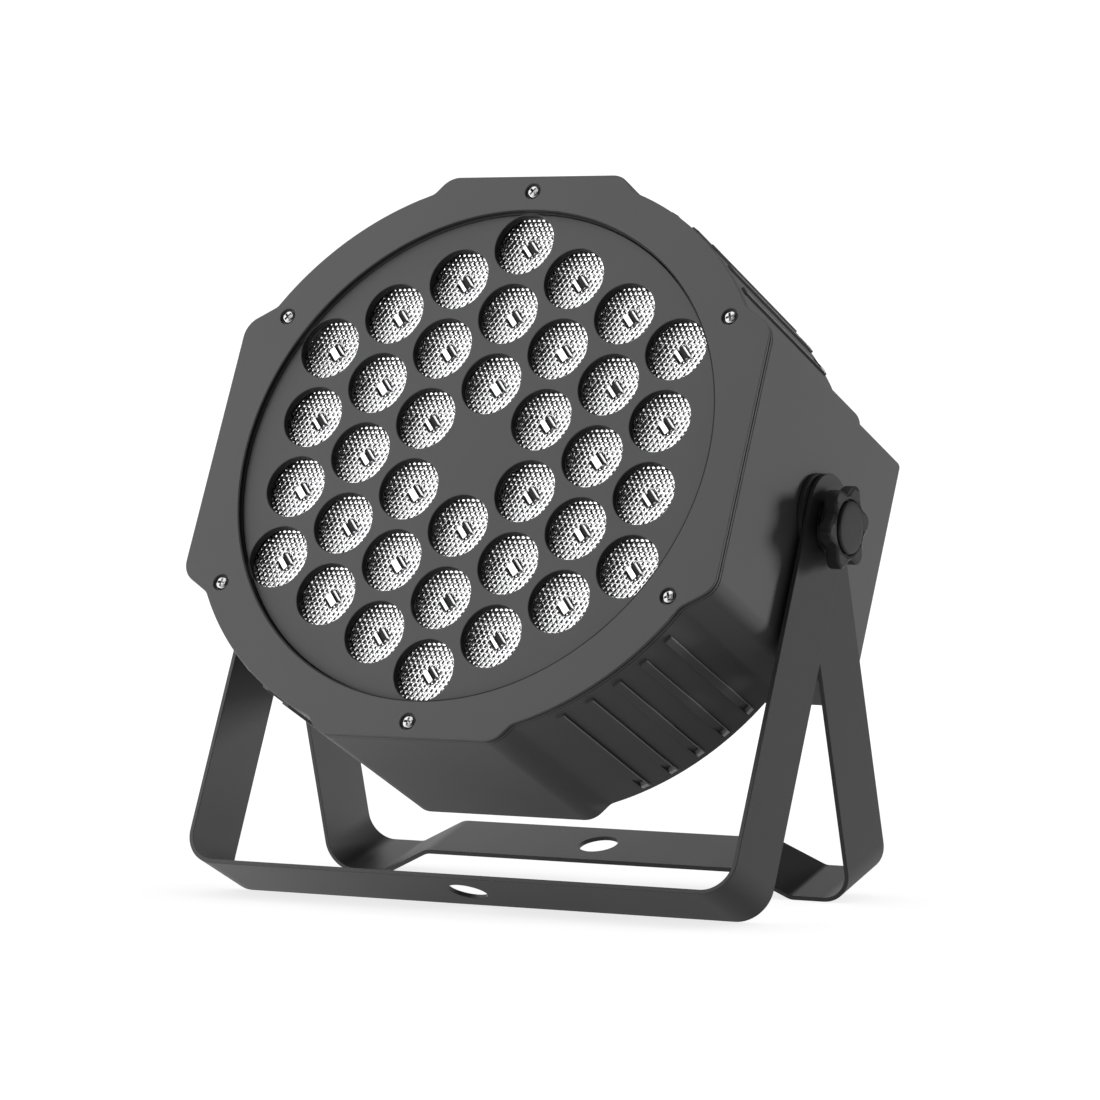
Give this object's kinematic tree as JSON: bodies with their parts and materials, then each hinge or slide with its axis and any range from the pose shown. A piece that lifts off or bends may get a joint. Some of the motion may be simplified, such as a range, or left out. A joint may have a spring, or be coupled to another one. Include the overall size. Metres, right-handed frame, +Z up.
{
  "type": "par can light",
  "caption": "Flat stage par light: beaded lenses in a round-shouldered charcoal housing on a folding double yoke, with clamp knobs, for standing on a floor or hanging.",
  "frame": {"origin": "middle of the bounding box at floor level, with the lamp standing on its two yokes", "axes": "+X to the lamp's left as it shines, right as seen from the front; the lamp shines towards -Y and up; +Z up"},
  "size_m": [0.2264, 0.1586, 0.2409],
  "materials": {
    "housing_plastic": "fine-textured charcoal moulded plastic",
    "yoke_paint": "dark satin powder coat on steel strap",
    "knob_plastic": "black satin moulded plastic",
    "chrome_screw": "bright plated screw",
    "zinc_steel": "zinc-plated steel",
    "lens_clear": "clear beaded optical plastic",
    "aluminium": "plain aluminium",
    "board_white": "white solder mask",
    "board_green": "green circuit board",
    "panel_paint": "black powder coat",
    "socket_plastic": "black moulded plastic",
    "window_tint": "dark red display window",
    "fan_plastic": "black moulded plastic",
    "lead_sleeve": "black insulated lead",
    "insert_brass": "turned brass"
  },
  "bodies": {
    "outer_yoke": {"outer_yoke": "yoke_paint"},
    "inner_yoke": {"inner_yoke": "yoke_paint"},
    "head": {"front_frame": "housing_plastic", "lens_mask": "housing_plastic", "lens_array": "lens_clear", "led_board": "board_white", "heat_sink": "aluminium", "main_housing": "housing_plastic", "rear_panel": "panel_paint", "power_inlet": "socket_plastic", "fuse_holder": "socket_plastic", "dmx_in": "socket_plastic", "dmx_out": "socket_plastic", "display_window": "window_tint", "control_board": "board_green", "driver_board": "board_green", "fan_frame": "fan_plastic", "mains_lead": "lead_sleeve", "led_lead": "lead_sleeve", "left_cheek_insert": "insert_brass", "right_cheek_insert": "insert_brass", "front_screw_1": "chrome_screw", "front_screw_2": "chrome_screw", "front_screw_3": "chrome_screw", "front_screw_4": "chrome_screw", "front_screw_5": "chrome_screw", "front_screw_6": "chrome_screw", "rear_screw_1": "zinc_steel", "rear_screw_2": "zinc_steel", "rear_screw_3": "zinc_steel", "rear_screw_4": "zinc_steel", "fan_screw_1": "zinc_steel", "fan_screw_2": "zinc_steel", "fan_screw_3": "zinc_steel", "fan_screw_4": "zinc_steel", "board_screw_1": "zinc_steel", "board_screw_2": "zinc_steel", "board_screw_3": "zinc_steel", "board_screw_4": "zinc_steel", "driver_screw_1": "zinc_steel", "driver_screw_2": "zinc_steel"},
    "fan": {"fan_rotor": "fan_plastic"},
    "button_menu": {"button_menu": "knob_plastic"},
    "button_up": {"button_up": "knob_plastic"},
    "button_down": {"button_down": "knob_plastic"},
    "button_enter": {"button_enter": "knob_plastic"},
    "left_washer": {"left_knob_washer": "zinc_steel"},
    "left_knob": {"left_knob": "knob_plastic", "left_knob_cap": "knob_plastic", "left_knob_stud": "zinc_steel"},
    "right_washer": {"right_knob_washer": "zinc_steel"},
    "right_knob": {"right_knob": "knob_plastic", "right_knob_cap": "knob_plastic", "right_knob_stud": "zinc_steel"}
  },
  "joints": [
    {"name": "stand_fold", "type": "hinge", "parent": "outer_yoke", "child": "inner_yoke", "pos_m": [0, 0.01554, 0.12565], "axis": [1, 0, 0], "range_deg": [-41, 60]},
    {"name": "head_tilt", "type": "hinge", "parent": "outer_yoke", "child": "head", "pos_m": [0, 0.01554, 0.12565], "axis": [1, 0, 0], "range_deg": [-115, 115]},
    {"name": "left_clamp_travel", "type": "slide", "parent": "head", "child": "left_washer", "axis": [-1, 0, 0], "range_m": [0, 0.0025]},
    {"name": "left_knob_turn", "type": "hinge", "parent": "left_washer", "child": "left_knob", "pos_m": [0, 0.01554, 0.12565], "axis": [-1, 0, 0], "range_deg": [0, 720]},
    {"name": "right_clamp_travel", "type": "slide", "parent": "head", "child": "right_washer", "axis": [1, 0, 0], "range_m": [0, 0.0025]},
    {"name": "right_knob_turn", "type": "hinge", "parent": "right_washer", "child": "right_knob", "pos_m": [0, 0.01554, 0.12565], "axis": [1, 0, 0], "range_deg": [0, 720]},
    {"name": "fan_spin", "type": "hinge", "parent": "head", "child": "fan", "pos_m": [0, 0.04992, 0.10947], "axis": [0, -0.9048, 0.4258], "continuous": true},
    {"name": "menu_press", "type": "slide", "parent": "head", "child": "button_menu", "axis": [0, -0.9048, 0.4258], "range_m": [0, 0.0006], "stiffness_N_per_m": 400, "springref_m": -0.0002},
    {"name": "up_press", "type": "slide", "parent": "head", "child": "button_up", "axis": [0, -0.9048, 0.4258], "range_m": [0, 0.0006], "stiffness_N_per_m": 400, "springref_m": -0.0002},
    {"name": "down_press", "type": "slide", "parent": "head", "child": "button_down", "axis": [0, -0.9048, 0.4258], "range_m": [0, 0.0006], "stiffness_N_per_m": 400, "springref_m": -0.0002},
    {"name": "enter_press", "type": "slide", "parent": "head", "child": "button_enter", "axis": [0, -0.9048, 0.4258], "range_m": [0, 0.0006], "stiffness_N_per_m": 400, "springref_m": -0.0002}
  ],
  "couplings": [
    {"joint": "left_knob_turn", "follows": "left_clamp_travel", "rad_per_m": 5026.5},
    {"joint": "right_knob_turn", "follows": "right_clamp_travel", "rad_per_m": 5026.5}
  ]
}
